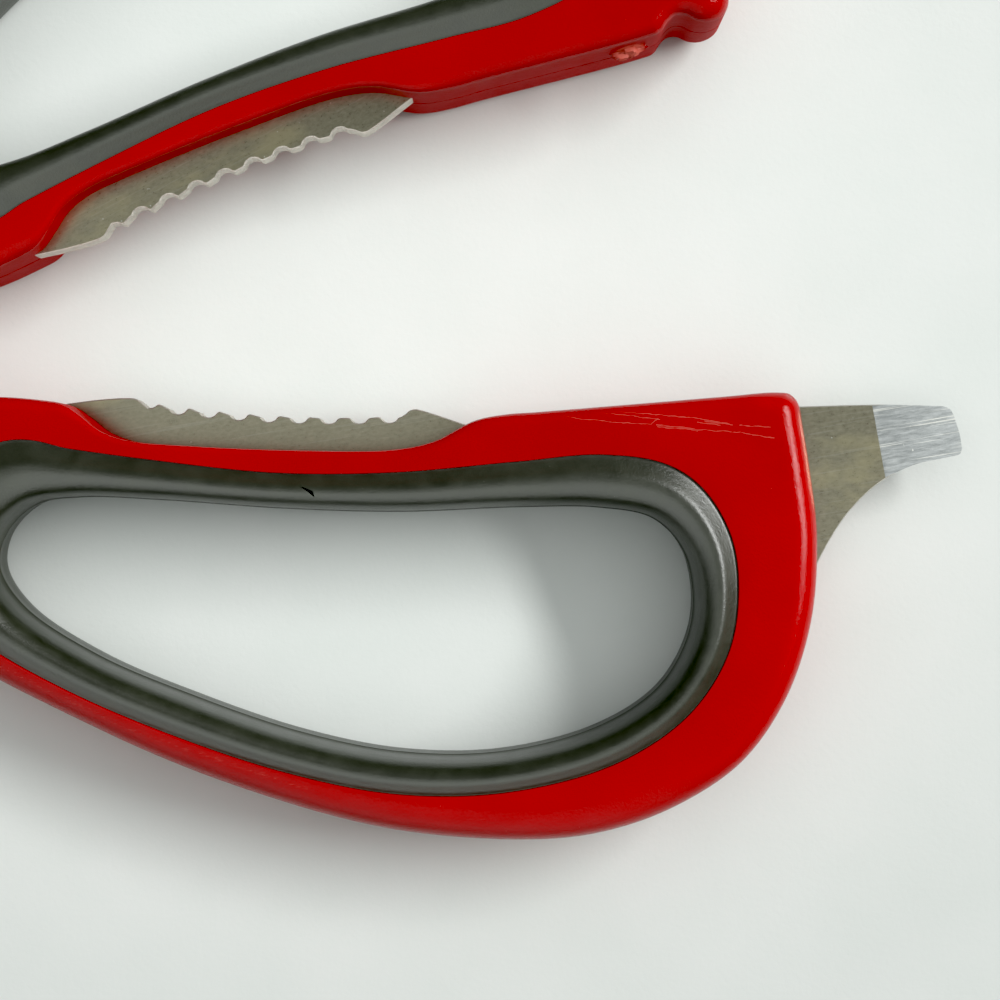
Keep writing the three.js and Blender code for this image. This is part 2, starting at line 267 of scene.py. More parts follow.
def triangulate(outer, inner, extra=()):
    """Triangles between two closed outlines. Rows are numbered outer, then inner, then extra points."""
    groups = [np.asarray(g, float).reshape(-1, 2) for g in (outer, inner, extra)]
    points = np.vstack(groups)
    edges = []
    first = 0
    for group in groups[:2]:
        count = len(group)
        edges += [(first + i, first + (i + 1) % count) for i in range(count)]
        first += count
    verts, _, faces, origins, _, _ = delaunay_2d_cdt([Vector(p) for p in points], edges, [], 0, 1e-6)
    number = [o[0] for o in origins]
    triangles = np.array([[number[v] for v in face] for face in faces if len(face) == 3])
    middle = points[triangles].mean(axis=1)
    keep = inside(middle, groups[0]) & ~inside(middle, groups[1])
    return triangles[keep]


# ---- mesh building ----
class Build:
    """Collects vertices in millimetres, and faces, for one closed piece."""

    def __init__(self):
        self.verts = []
        self.faces = []

    def ring(self, outline, z):
        first = len(self.verts)
        heights = np.broadcast_to(z, len(outline))
        self.verts += [(x, y, h) for (x, y), h in zip(outline, heights)]
        return list(range(first, len(self.verts)))

    def bridge(self, lower, upper):
        count = len(lower)
        for i in range(count):
            j = (i + 1) % count
            self.faces.append((lower[i], lower[j], upper[j], upper[i]))

    def cap(self, ring):
        self.faces.append(tuple(ring))

    def fill(self, triangles, numbers):
        self.faces += [tuple(numbers[v] for v in face) for face in triangles]

    def piece(self, name, half, mirror=False):
        """The mesh in its half's place, in metres, with its faces pointing out."""
        mesh = bpy.data.meshes.new(name)
        mesh.from_pydata(self.verts, [], self.faces)
        if mirror:
            mesh.transform(Matrix.Diagonal((1, 1, -1, 1)))
        mesh.transform(PLACE[half])
        work = bmesh.new()
        work.from_mesh(mesh)
        bmesh.ops.recalc_face_normals(work, faces=work.faces)
        work.to_mesh(mesh)
        work.free()
        made = bpy.data.objects.new(name, mesh)
        bpy.context.scene.collection.objects.link(made)
        return made


def prism(name, half, outline, low, high, chamfer=0.0):
    """A flat plate with the given plan and finely chamfered rims."""
    outline = outline if signed_area(outline) > 0 else outline[::-1]
    build = Build()
    inset = outline - chamfer * outward(outline)
    if chamfer:
        rings = [build.ring(inset, low), build.ring(outline, low + chamfer),
                 build.ring(outline, high - chamfer), build.ring(inset, high)]
    else:
        rings = [build.ring(outline, low), build.ring(outline, high)]
    for lower, upper in zip(rings, rings[1:]):
        build.bridge(lower, upper)
    build.cap(rings[0])
    build.cap(rings[-1])
    return build.piece(name, half)


def circle(x, y, radius, count=64):
    angle = np.linspace(0, 2 * math.pi, count, endpoint=False)
    return np.stack([x + radius * np.cos(angle), y + radius * np.sin(angle)], axis=1)


def combine(piece, tool, operation):
    """Cuts the tool out of the piece, or joins it on, and removes the tool."""
    change = piece.modifiers.new("combine", "BOOLEAN")
    change.object = tool
    change.operation = operation
    change.solver = "MANIFOLD"
    shape = bpy.data.meshes.new_from_object(piece.evaluated_get(bpy.context.evaluated_depsgraph_get()))
    piece.modifiers.clear()
    piece.data = shape
    bpy.data.objects.remove(tool)
    return piece


def cut(piece, tool):
    return combine(piece, tool, "DIFFERENCE")


def join(piece, tool):
    return combine(piece, tool, "UNION")


def finish_piece(piece, body, node, material, sharp=35):
    """Shading, finish and place in the assembly for one finished piece."""
    piece.data.materials.clear()
    piece.data.materials.append(material)
    piece.data.shade_smooth()
    piece.data.set_sharp_from_angle(angle=math.radians(sharp))
    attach(piece, body)
    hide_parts(node)


# ---- handle shells ----
def fillet_drop(gap, radius):
    reach = np.clip(radius - gap, 0, None)
    return radius - np.sqrt(np.clip(radius ** 2 - reach ** 2, 0, None))


def face_points(outline, rounding, boundary):
    """Interior plan points of a shell's face: rings along both edges, and an even fill between."""
    inward = -outward(outline)
    away = outward(boundary)
    candidates = []
    for turn in np.radians(np.arange(10, 91, 10)):
        inset = rounding * (1 - math.cos(turn))
        candidates.append((outline + inward * inset[:, None], inset, 0.12))
    for inset in (LIP_ROUND / 3, LIP_ROUND * 2 / 3, LIP_ROUND):
        candidates.append((boundary + away * inset, np.full(len(boundary), 0.1), inset * 0.97))
    grid_step = 1.3
    xs = np.arange(outline[:, 0].min(), outline[:, 0].max(), grid_step)
    ys = np.arange(outline[:, 1].min(), outline[:, 1].max(), grid_step * 0.866)
    grid = np.array([(x + (row % 2) * grid_step / 2, y) for row, y in enumerate(ys) for x in xs])
    candidates.append((grid, None, 0.7))
    kept = []
    for points, inset, clear in candidates:
        gap_outer, radius = distance(points, outline, rounding)
        gap_inner, _ = distance(points, boundary)
        least = radius + 0.5 if inset is None else inset * 0.995 - 1e-4
        good = inside(points, outline) & ~inside(points, boundary)
        good &= (gap_outer >= least) & (gap_inner >= clear)
        kept.append(points[good])
    return np.vstack(kept)


def shell(name, half, lower):
    """One half-shell of a handle, built above its parting face and mirrored down for the lower one."""
    outline = handle_outline(half)
    rounding = edge_rounding(outline)
    edge, normal, width = loop_rows()
    boundary = edge + normal * width[:, None]
    bore = edge + normal * (LINER_WALL + 0.05)
    extra = face_points(outline, rounding, boundary)
    points = np.vstack([outline, boundary, extra])
    gap_outer, radius = distance(points, outline, rounding)
    gap_inner, _ = distance(points, boundary)
    gap_outer[:len(outline)] = 0
    gap_inner[len(outline):len(outline) + len(boundary)] = 0
    heights = HANDLE_HALF - fillet_drop(gap_outer, radius) - fillet_drop(gap_inner, LIP_ROUND)

    build = Build()
    top = build.ring(points, heights)
    build.fill(triangulate(outline, boundary, extra), top)
    top_outer = top[:len(outline)]
    top_inner = top[len(outline):len(outline) + len(boundary)]
    wall = build.ring(outline, PARTING_GAP + PARTING_CHAMFER)
    foot = build.ring(outline - PARTING_CHAMFER * outward(outline), PARTING_GAP)
    build.bridge(wall, top_outer)
    build.bridge(foot, wall)
    rebate_outer = build.ring(boundary, FLANGE_Z - 0.02)
    rebate_inner = build.ring(bore, FLANGE_Z - 0.02)
    bore_foot = build.ring(bore, PARTING_GAP)
    build.bridge(top_inner, rebate_outer)
    build.bridge(rebate_outer, rebate_inner)
    build.bridge(rebate_inner, bore_foot)
    build.fill(triangulate(outline - PARTING_CHAMFER * outward(outline), bore), foot + bore_foot)
    made = build.piece(name, half, mirror=lower)
    peg_low = PLATE_LOW - PEG_REACH
    if lower:
        cut(made, prism("pocket", half, grown(blade_outline(half), 0.02), PLATE_LOW - 0.02, 1))
    if name == SCARRED_SHELL:
        join(made, gate_scar(half))
    for x, y in PEG_PLACES:
        if lower:
            cut(made, prism("socket", half, circle(x, y, PEG_RADIUS + 0.1), peg_low - 0.2, 1))
        else:
            join(made, prism("peg", half, circle(x, y, PEG_RADIUS), peg_low, 1, 0.2))
    return made


def gate_scar(half):
    """The torn stub where the plastic was fed into the mould: a ragged low lump on the stop side."""
    build = Build()
    rows, columns = 14, 28
    rings = []
    for row in range(1, rows):
        tilt = math.pi * row / rows
        first = len(build.verts)
        for column in range(columns):
            turn = 2 * math.pi * column / columns
            torn = 1 + 0.16 * math.sin(5 * turn + 2 * tilt) + 0.13 * math.sin(9 * turn - 3 * row)
            torn += 0.1 * math.sin(7 * tilt + 4 * turn)
            x = SCAR_SIZE[0] * math.sin(tilt) * math.cos(turn) * torn
            y = SCAR_SIZE[1] * math.cos(tilt) * torn
            z = SCAR_SIZE[2] * math.sin(tilt) * math.sin(turn) * torn
            build.verts.append((SCAR_PLACE[0] + x, SCAR_PLACE[1] + y, SCAR_PLACE[2] + z))
        rings.append(list(range(first, first + columns)))
    for lower, upper in zip(rings, rings[1:]):
        build.bridge(lower, upper)
    build.cap(rings[0])
    build.cap(rings[-1])
    return build.piece("gate_scar", half)


def grown(outline, amount):
    return outline + amount * outward(outline)


# ---- soft liner ----
def liner_section(width):
    """Closed section of the liner as (outward from the loop's edge, z), top half then its mirror.

    The wall towards the finger rolls over into a low bead, whose outer flank falls to the red shell.
    """
    rim = width - 0.01
    bead = [(rim * share, z) for share, z in catmull(BEAD, spacing=0.1)]
    flash = [(0, 0.14), (-0.08, 0.05)]
    top = [(LINER_WALL, FLANGE_Z), (rim, FLANGE_Z)] + bead + flash
    return top + [(r, -z) for r, z in top[::-1]]


def liner(name, half):
    edge, normal, width = loop_rows()
    build = Build()
    rings = []
    for place, out, w in zip(edge, normal, width):
        first = len(build.verts)
        for r, z in liner_section(w):
            x, y = place + out * r
            build.verts.append((x, y, z))
        rings.append(list(range(first, len(build.verts))))
    for here, there in zip(rings, rings[1:] + rings[:1]):
        build.bridge(here, there)
    made = build.piece(name, half)
    if half == "a":
        cut(made, nick(half))
    return made


def nick(half):
    """A thin slanting sliver that is cut out of the liner's bead."""
    x, y = NICK_PLACE
    sliver = ((-0.8, 0.45), (0, -0.12), (0.55, -0.6), (0.45, 0), (0, 0.2))
    outline = np.array([(x + dx, y + dy) for dx, dy in sliver])
    return prism("nick", half, outline, LINER_CREST - 0.9, LINER_CREST + 1)


# ---- steel ----
def blade_outline(half):
    """One blade with its tang in plan, anticlockwise from the top of the tang's neck."""
    pen = Pen()
    pen.arc((0, 0), DISC_RADIUS, -20, 95)
    pen.curve((-16, 11.2), (-40, 10.5), (-66, 8.2), (-86, 4.9), (TIP_X + 1.2, 0.6), spacing=1)
    pen.curve((TIP_X, -0.1), (TIP_X + 0.8, -0.7), (TIP_X + 2, EDGE_Y), spacing=0.15)
    pen.line((NOTCH_X - NOTCH_RADIUS, EDGE_Y))
    pen.arc((NOTCH_X, EDGE_Y), NOTCH_RADIUS, 180, 0, step=8)
    pen.line((-12, EDGE_Y))
    pen.arc((0, 0), DISC_RADIUS, 190, 300)
    pen.curve((13, -11.6), (21, -13), (28, -12.4), (31, -8.8), (36, -7.6))
    pen.curve((48, -7.9), (57, -8.7), (66, -9.1), (97, -9), spacing=1)
    pen.curve((102.8, -10.6), (105.6, -14), (106.2, -18.6))
    if half == "a":
        pen.line((113, -18.6))
        pen.curve((114.9, -15), (116.9, -12.1), (119.9, -9.3), (123.2, -7.6), (127.5, -6.65))
        pen.curve((128.1, -6.45), (128.3, -5.9), spacing=0.1)
        pen.curve((128.1, -4.6), (127.5, -2.6))
        pen.curve((127.1, -1.95), (126.3, -1.65), spacing=0.1)
        pen.curve((120, -1.5), (110, -1.7), spacing=1)
    else:
        pen.line((110.2, -18.6), (110.2, -4))
    pen.curve((104, -3.4), (92, -4.4), (82, -4.3), (78.7, -3.35), (75.6, -2.3), (74.2, -1.86))
    pen.curve((73.5, -1.72), (72.9, -1.86), (72.5, -2.2), spacing=0.12)
    gullets(pen)
    pen.line((45.75, -0.66))
    pen.curve((45.4, -0.52), (44.6, -0.46), (42, -0.6), (38.6, -1), spacing=0.2)
    pen.line((35.8, -3.6))
    return pen.outline()


def gullets(pen):
    """The gripping teeth: flat tops with rounded corners on a hollow line, and round gullets."""
    for tooth in reversed(range(TOOTH_COUNT)):
        x = TOOTH_START + tooth * TOOTH_PITCH
        crest = CREST_LOW[1] + CREST_CURVE * (x - CREST_LOW[0]) ** 2
        first = tooth == 0  # shallower, and its far side is the slope up to the plate's corner
        drop = GULLET_DEPTH * (0.65 if first else 1)
        pen.line((x - GULLET_SHAPE[-1][0] * GULLET_HALF, crest))
        shape = GULLET_SHAPE[:3] if first else GULLET_SHAPE
        places = [(x + across * GULLET_HALF, crest - depth * drop) for across, depth in shape]
        pen.curve(*places, spacing=0.1)


def lugged(journal, half_width, reach, turn):
    """A round with two opposite lugs, in plan, with the lugs along `turn` degrees."""
    inner = math.degrees(math.asin(half_width / journal))
    outer = math.degrees(math.asin(half_width / reach))
    pen = Pen()
    for side in (0, 180):
        pen.arc((0, 0), reach, side - outer + turn, side + outer + turn)
        pen.arc((0, 0), journal, side + inner + turn, side + 180 - inner + turn)
    return pen.outline()


def wedge(name, half, profile, length, place):
    """A long prism lying along x, from a closed (y, z) profile, used to grind a face."""
    build = Build()
    count = len(profile)
    rings = []
    for x in (0, length):
        first = len(build.verts)
        build.verts += [(place[0] + x, place[1] + y, place[2] + z) for y, z in profile]
        rings.append(list(range(first, first + count)))
    build.bridge(*rings)
    build.cap(rings[0])
    build.cap(rings[1])
    return build.piece(name, half)


def blade(name, half):
    made = prism(name, half, blade_outline(half), PLATE_LOW, PLATE_HIGH, PLATE_CHAMFER)
    for x, y in PEG_PLACES:
        cut(made, prism("hole", half, circle(x, y, PEG_RADIUS + 0.15), PLATE_LOW - 1, 1))
    if half == "a":
        cut(made, prism("bore", half, circle(0, 0, JOURNAL_RADIUS + RUNNING_GAP), PLATE_LOW - 1, 1))
        for face in (1, -1):
            cut(made, driver_wedge(face))
    else:
        keyhole = lugged(JOURNAL_RADIUS + RUNNING_GAP, LUG_HALF_WIDTH + RUNNING_GAP,
                         LUG_REACH + RUNNING_GAP, RELEASE_OPENING - 90)
        cut(made, prism("keyhole", half, keyhole, PLATE_LOW - 1, 1))
    for width, rise, land in BEVELS:
        grind(made, half, width, rise, land)
    if half == "b":
        cut(made, serrations(half))
    return made


def grind(piece, half, width, rise, land):
    """Takes a flat bevel off the outer face: `width` wide, `rise` high, with `land` left at the edge."""
    edge_z = PLATE_HIGH - land
    slope = rise / width
    below = PLATE_LOW - 1
    profile = [(-1, edge_z + slope), (-1, below), ((edge_z - below) / slope, below)]
    cut(piece, wedge("grind", half, profile, 91, (TIP_X - 1, EDGE_Y, 0)))


def serrations(half):
    """The row of fine slanting notches along one cutting edge, as one tool of many small prisms."""
    build = Build()
    for x in np.arange(TIP_X + 8, NOTCH_X - 2 * NOTCH_RADIUS, SERRATION_PITCH):
        rings = []
        for z in (PLATE_LOW, 1):
            first = len(build.verts)
            for dx, dy in ((-0.5, -1), (0.5, -1), (0.28, 0), (0, SERRATION_DEPTH), (-0.28, 0)):
                build.verts.append((x + dx, EDGE_Y + dy, z))
            rings.append(list(range(first, first + 5)))
        build.bridge(*rings)
        build.cap(rings[0])
        build.cap(rings[1])
    return build.piece("serrations", half)


def driver_wedge(face):
    """What is ground off one face of the screwdriver end, from a slanted line to the tip."""
    middle = (PLATE_LOW + PLATE_HIGH) / 2
    thick = (PLATE_HIGH - PLATE_LOW) / 2
    start = Vector((119.8, -5))
    run, lost, lean = 8.6, 0.7, math.radians(10)
    past = run + 3
    along = Vector((math.cos(lean), math.sin(lean)))
    across = Vector((-along.y, along.x))
    section = ((0, thick), (past, thick - lost * past / run), (past, thick + 1), (0, thick + 1))
    build = Build()
    rings = []
    for side in (-8, 8):
        first = len(build.verts)
        for reach, height in section:
            place = start + along * reach + across * side
            build.verts.append((*place, middle + face * height))
        rings.append(list(range(first, first + len(section))))
    build.bridge(*rings)
    build.cap(rings[0])
    build.cap(rings[1])
    return build.piece("driver_grind", "a")


# ---- turned parts of the pivot ----
def turned(name, profile, closed=False, steps=96):
    """A turned piece from an (r, z) profile that starts and ends on the axis, or closes on itself."""
    build = Build()
    rings = []
    for radius, z in profile:
        if radius == 0:
            build.verts.append((0, 0, z))
            rings.append([len(build.verts) - 1])
        else:
            rings.append(build.ring(circle(0, 0, radius, steps), z))
    pairs = list(zip(rings, rings[1:])) + ([(rings[-1], rings[0])] if closed else [])
    for lower, upper in pairs:
        if len(lower) == 1 or len(upper) == 1:
            pole, ring = (lower[0], upper) if len(lower) == 1 else (upper[0], lower)
            build.faces += [(pole, ring[i], ring[(i + 1) % steps]) for i in range(steps)]
        else:
            build.bridge(lower, upper)
    return build.piece(name, "a")


def pivot_stud(name):
    """The fixed stud: a round foot, the shank, and a two-lug head with a dimple and a ring groove."""
    foot = -MEETING_HEIGHT / MM
    top = foot + FOOT_HEIGHT
    profile = [
        (0, foot), (FOOT_RADIUS - 0.5, foot), (FOOT_RADIUS - 0.2, foot + 0.08), (FOOT_RADIUS, foot + 0.35),
        (FOOT_RADIUS, top - 0.15), (FOOT_RADIUS - 0.1, top), (JOURNAL_RADIUS, top),
        (JOURNAL_RADIUS, HEAD_LOW + 0.5), (0, HEAD_LOW + 0.5),
    ]
    made = turned(name, profile)
    head = lugged(JOURNAL_RADIUS, LUG_HALF_WIDTH, LUG_REACH, 90)
    join(made, prism("lugs", "a", head, HEAD_LOW, HEAD_HIGH, 0.3))
    dimple = [(0, -0.5), (1.3, -0.35), (1.9, 0.02), (1.9, 1), (0, 1)]
    cut(made, turned("dimple", [(r, HEAD_HIGH + z) for r, z in dimple], steps=48))
    ring = [(2.7, 0.5), (2.7, -0.12), (3, -0.12), (3, 0.5)]
    return cut(made, turned("ring", [(r, HEAD_HIGH + z) for r, z in ring], closed=True, steps=64))


def stud_washer(name):
    """The thin washer between the stud's foot and blade A, with eased rims."""
    low, high, rim = WASHER_LOW, WASHER_HIGH, 0.12
    bore = JOURNAL_RADIUS + RUNNING_GAP
    profile = [
        (bore + rim, low), (WASHER_RADIUS - rim, low), (WASHER_RADIUS, low + rim),
        (WASHER_RADIUS, high - rim), (WASHER_RADIUS - rim, high), (bore + rim, high),
        (bore, high - rim), (bore, low + rim),
    ]
    return turned(name, profile, closed=True)


# ---- finishes ----
GRIND_LEAN = math.radians(-9)  # direction of the grinding marks, from the handle's length
STEEP_BELOW, FLAT_ABOVE = 0.8, 0.9996  # how level a steel face is: a cut edge below, a rolled face above
# Steel: darker and lighter colour, roughness range, grain depth in mm, how fine the grain is along and
# across the marks, share of bright scratches.
STEEL_FINISHES = {
    "rolled": ((0.35, 0.33, 0.25), (0.455, 0.43, 0.33), (0.26, 0.34), 0.004, (1.4, 2.6), 0.1),
    "ground": ((0.33, 0.35, 0.35), (0.5, 0.52, 0.52), (0.36, 0.46), 0.012, (0.5, 4), 0.7),
    "cut": ((0.5, 0.48, 0.43), (0.7, 0.68, 0.62), (0.5, 0.62), 0.02, (0.5, 2.5), 0.1),
}


class Finish:
    """A node material on the half's own millimetre coordinates, with x along the handle."""

    def __init__(self, name, half):
        self.material = bpy.data.materials.new(name)
        self.material.use_nodes = True
        self.tree = self.material.node_tree
        self.shader = self.tree.nodes["Principled BSDF"]
        self.half = half
        place = self.node("TexCoord").outputs["Object"]
        turn = REST_OPENING if half == "b" else 0
        self.mm = self.vector("SCALE", self.rotated(place, -turn), Scale=1 / MM)

    def node(self, kind, inputs=None, **settings):
        made = self.tree.nodes.new("ShaderNode" + kind)
        for key, value in settings.items():
            setattr(made, key, value)
        for key, value in (inputs or {}).items():
            if isinstance(value, bpy.types.NodeSocket):
                self.tree.links.new(value, made.inputs[key])
            else:
                made.inputs[key].default_value = value
        return made

    def vector(self, operation, first, second=None, **named):
        inputs = {0: first, **named}
        if second is not None:
            inputs[1] = second
        made = self.node("VectorMath", inputs, operation=operation)
        return made.outputs["Value" if operation in ("LENGTH", "DOT_PRODUCT", "DISTANCE") else "Vector"]

    def rotated(self, vector, angle):
        """The vector turned about Z."""
        inputs = {"Vector": vector, "Angle": angle}
        return self.node("VectorRotate", inputs, rotation_type="Z_AXIS").outputs[0]

    def math(self, operation, first, second=0.0, clamp=False):
        return self.node("Math", {0: first, 1: second}, operation=operation, use_clamp=clamp).outputs[0]

    def stretched(self, x, y, z):
        return self.vector("MULTIPLY", self.mm, (x, y, z))

    def noise(self, vector, scale, detail=2.0, roughness=0.5, distortion=0.0):
        inputs = {"Vector": vector, "Scale": scale, "Detail": detail, "Roughness": roughness,
                  "Distortion": distortion}
        return self.node("TexNoise", inputs).outputs[0]

    def noise_colour(self, vector, scale):
        return self.node("TexNoise", {"Vector": vector, "Scale": scale}).outputs["Color"]

    def span(self, value, low, high, to_low=0.0, to_high=1.0):
        inputs = {0: value, 1: low, 2: high, 3: to_low, 4: to_high}
        return self.node("MapRange", inputs, clamp=True).outputs[0]

    def mix(self, factor, first, second):
        made = self.node("Mix", data_type="RGBA")
        sockets = (made.inputs[0], made.inputs[6], made.inputs[7])
        for socket, value in zip(sockets, (factor, first, second)):
            if isinstance(value, bpy.types.NodeSocket):
                self.tree.links.new(value, socket)
            else:
                socket.default_value = (*value, 1)
        return made.outputs[2]

    def bump(self, height, depth, below=None):
        inputs = {"Height": height, "Strength": 1.0, "Distance": depth * MM}
        if below is not None:
            inputs["Normal"] = below
        return self.node("Bump", inputs).outputs[0]

    def in_half(self, point):
        """A point of the half's drawing in the material's coordinates, which stay upright for half B."""
        x, y, z = point
        side = -1 if self.half == "b" else 1
        return (x, side * y, side * z + MEETING_HEIGHT / MM)

    def near_lines(self, place, lines, reach):
        """1 on any of the broken lines in plan, falling to 0 at `reach` millimetres from it."""
        flat = self.vector("MULTIPLY", place, (1, 1, 0))
        gap = 100.0
        for line in lines:
            for start, end in zip(line, line[1:]):
                run = (end[0] - start[0], end[1] - start[1], 0)
                offset = self.vector("SUBTRACT", flat, (*start, 0))
                length = run[0] ** 2 + run[1] ** 2
                share = self.math("DIVIDE", self.vector("DOT_PRODUCT", offset, run), length, clamp=True)
                along = self.vector("SCALE", run, Scale=share)
                here = self.vector("LENGTH", self.vector("SUBTRACT", offset, along))
                gap = self.math("MINIMUM", here, gap)
        return self.span(gap, 0, reach, 1, 0)

    def upward(self, low, high, or_down=False):
        """1 on faces that look up, and with `or_down` on those that look down, 0 on the others."""
        normal = self.node("NewGeometry").outputs["Normal"]
        z = self.node("SeparateXYZ", {0: normal}).outputs["Z"]
        if or_down:
            z = self.math("ABSOLUTE", z)
        return self.span(z, low, high)

    def apply(self, **inputs):
        for key, value in inputs.items():
            socket = self.shader.inputs[key.replace("_", " ")]
            if isinstance(value, bpy.types.NodeSocket):
                self.tree.links.new(value, socket)
            else:
                socket.default_value = value
        return self.material


def red_plastic(name, half, scratches=(), rubs=()):
    """Moulded red, glossy on its faces: slow colour drift, faint ripple, handling marks and any scratches."""
    f = Finish(name, half)
    drift = f.noise(f.mm, 0.06, 3)
    base = f.mix(f.span(drift, 0.35, 0.65), (0.38, 0.0004, 0.0004), (0.43, 0.0008, 0.0006))
    ripple = f.noise(f.mm, 0.9, 2)
    haze = f.noise(f.stretched(1, 1.6, 1), 0.35, 5, 0.6)
    wander = f.vector("SUBTRACT", f.noise_colour(f.mm, 1.1), (0.5, 0.5, 0.5))
    wobbly = f.vector("ADD", f.mm, f.vector("SCALE", wander, Scale=0.3))
    hairline = f.span(f.noise(f.stretched(0.1, 4.5, 4.5), 2.6, 2, 0.6, 0.3), 0.72, 0.78)
    speck = f.span(f.noise(f.mm, 3.1, 1), 0.8, 0.83)
    marks = f.math("MULTIPLY", hairline, 0.15)
    if scratches:
        broken = f.span(f.noise(f.mm, 1.3, 3, 0.7), 0.25, 0.55, 0.1, 0.8)
        line = f.math("MULTIPLY", f.near_lines(wobbly, scratches, 0.09), broken)
        marks = f.math("MAXIMUM", marks, f.math("MULTIPLY", line, f.upward(0.75, 0.95)))
    if rubs:
        broken = f.span(f.noise(f.stretched(0.5, 2, 2), 2.2, 4, 0.7), 0.52, 0.66, 0, 0.4)
        line = f.math("MULTIPLY", f.near_lines(wobbly, rubs, 0.3), broken)
        marks = f.math("MAXIMUM", marks, f.math("MULTIPLY", line, f.upward(0.3, 0.6)))
    if name == SCARRED_SHELL:
        place = f.vector("ADD", f.mm, f.vector("SCALE", wander, Scale=0.5))
        gap = f.vector("LENGTH", f.vector("SUBTRACT", place, f.in_half(SCAR_PLACE)))
        torn = f.span(gap, SCAR_SIZE[0] * 0.7, SCAR_SIZE[0] * 1.1, 0.75, 0)
        base = f.mix(torn, base, (0.72, 0.17, 0.13))
        marks = f.math("MAXIMUM", marks, torn)
    marks = f.math("MAXIMUM", marks, f.math("MULTIPLY", speck, 0.35))
    colour = f.mix(f.math("MULTIPLY", marks, 0.5), base, (0.7, 0.2, 0.16))
    rough = f.math("ADD", f.span(haze, 0.3, 0.7, 0.16, 0.24), f.math("MULTIPLY", marks, 0.3))
    level = f.upward(0.05, 0.35, or_down=True)  # the mould leaves the upright sides duller than the faces
    rough = f.math("ADD", rough, f.span(level, 0, 1, 0.3, 0))
    peel = f.noise(f.mm, 3.6, 3, 0.7)
    normal = f.bump(ripple, 0.012)
    normal = f.bump(peel, 0.04, normal)
    shine = f.span(level, 0, 1, 0.12, 0.33)
    return f.apply(Base_Color=colour, Roughness=rough, Normal=normal, Specular_IOR_Level=shine)


def soft_rubber(name, half):
    """Satin soft-touch rubber: a dark grey-green with a fine mottle, dust and a grainy shine."""
    f = Finish(name, half)
    mottle = f.noise(f.mm, 0.5, 5, 0.65)
    base = f.mix(f.span(mottle, 0.3, 0.7), (0.028, 0.031, 0.021), (0.042, 0.046, 0.032))
    dust = f.span(f.noise(f.mm, 2.6, 2, 0.6), 0.74, 0.8)
    colour = f.mix(f.math("MULTIPLY", dust, 0.25), base, (0.3, 0.3, 0.26))
    grain = f.noise(f.mm, 4, 3, 0.7)
    flow = f.noise(f.stretched(0.25, 1.4, 1.4), 1.2, 3)
    rough = f.span(mottle, 0.3, 0.7, 0.33, 0.4)
    normal = f.bump(grain, 0.034)
    normal = f.bump(flow, 0.012, normal)
    return f.apply(Base_Color=colour, Roughness=rough, Normal=normal, Specular_IOR_Level=1.0)


def satin_steel(name, half, finish):
    """Stainless steel: "rolled" faces with a fine grain, "ground" bevels, and matt "cut" edges."""
    f = Finish(name, half)
    low, high, roughness, depth, (along, across), scratched = STEEL_FINISHES[finish]
    leaning = f.rotated(f.mm, GRIND_LEAN)
    grain = f.noise(f.vector("MULTIPLY", leaning, (along, across, along)), 1.2, 6, 0.8)
    deep = f.span(f.noise(f.vector("MULTIPLY", leaning, (0.06, 4, 0.06)), 1.6, 1), 0.62, 0.7)
    base = f.mix(f.span(grain, 0.35, 0.65), low, high)
    if finish == "rolled":
        stain = f.noise(f.stretched(0.5, 1, 1), 0.16, 4, 0.6)
        base = f.mix(f.span(stain, 0.54, 0.68, 0, 0.6), base, (0.6, 0.55, 0.36))
    speck = f.span(f.noise(f.mm, 2.4, 1), 0.77, 0.82)
    shine = f.math("MAXIMUM", f.math("MULTIPLY", deep, scratched), speck)
    colour = f.mix(shine, base, (0.82, 0.82, 0.76))
    rough = f.span(grain, 0.3, 0.7, *roughness)
    return f.apply(Base_Color=colour, Metallic=1.0, Roughness=rough, Normal=f.bump(grain, depth))


def floor_finish():
    """Pale matt table top with a very faint mottle, and painted shade: a shade darker away from the halves'
    teeth, standing in for the light's fall-off.
    """
    f = Finish("table_top", "a")
    mottle = f.noise(f.mm, 0.05, 4, 0.6)
    colour = f.mix(f.span(mottle, 0.3, 0.7), (0.76, 0.79, 0.765), (0.8, 0.82, 0.8))
    # Painted shade: the colour is mixed up to a fifth of the way towards black with distance from (60, 20) mm,
    # in place of the light's fall-off over the table.
    away = f.vector("DISTANCE", f.mm, (60, 20, 0))
    colour = f.mix(f.span(away, 25, 100, 0, 0.2), colour, (0, 0, 0))
    normal = f.bump(f.noise(f.mm, 1.5, 3, 0.6), 0.02)
    return f.apply(Base_Color=colour, Roughness=0.55, Normal=normal, Specular_IOR_Level=0.25)


def paint_steel_faces(piece, ground, edge):
    """Puts the bright finish on a blade's shallow ground faces, and the matt one on its cut edges."""
    piece.data.materials.append(ground)
    piece.data.materials.append(edge)
    for face in piece.data.polygons:
        level = abs(face.normal.z)
        if level < STEEP_BELOW:
            face.material_index = 2
        elif level < FLAT_ABOVE:
            face.material_index = 1


# ---- the object ----
# Fine scratches by the stop of half A, and the worn line along its loop side, as plan lines.
SCRATCHES = (
    ((88.3, -2.8), (92.6, -3.3), (96.6, -3.6)),
    ((97.1, -3.6), (101.1, -4.1), (105.2, -4.4), (108.5, -5)),
    ((94.4, -2.7), (97.4, -3.1)), ((101.1, -3.4), (103.3, -3.7)), ((90.8, -2.3), (94.3, -2.7)),
    ((92.2, -2.2), (94.5, -2.4), (99, -2.8), (101.1, -3), (104.1, -3.6)), ((97.2, -3.8), (101.1, -4.2)),
    ((101.8, -3.3), (104.5, -3.7)), ((105.2, -3.7), (108.2, -3.9)), ((96.6, -3.5), (97.2, -3)),
)
RUBS = (((33.3, -26.9), (46.6, -33.3), (63, -38.8)),)


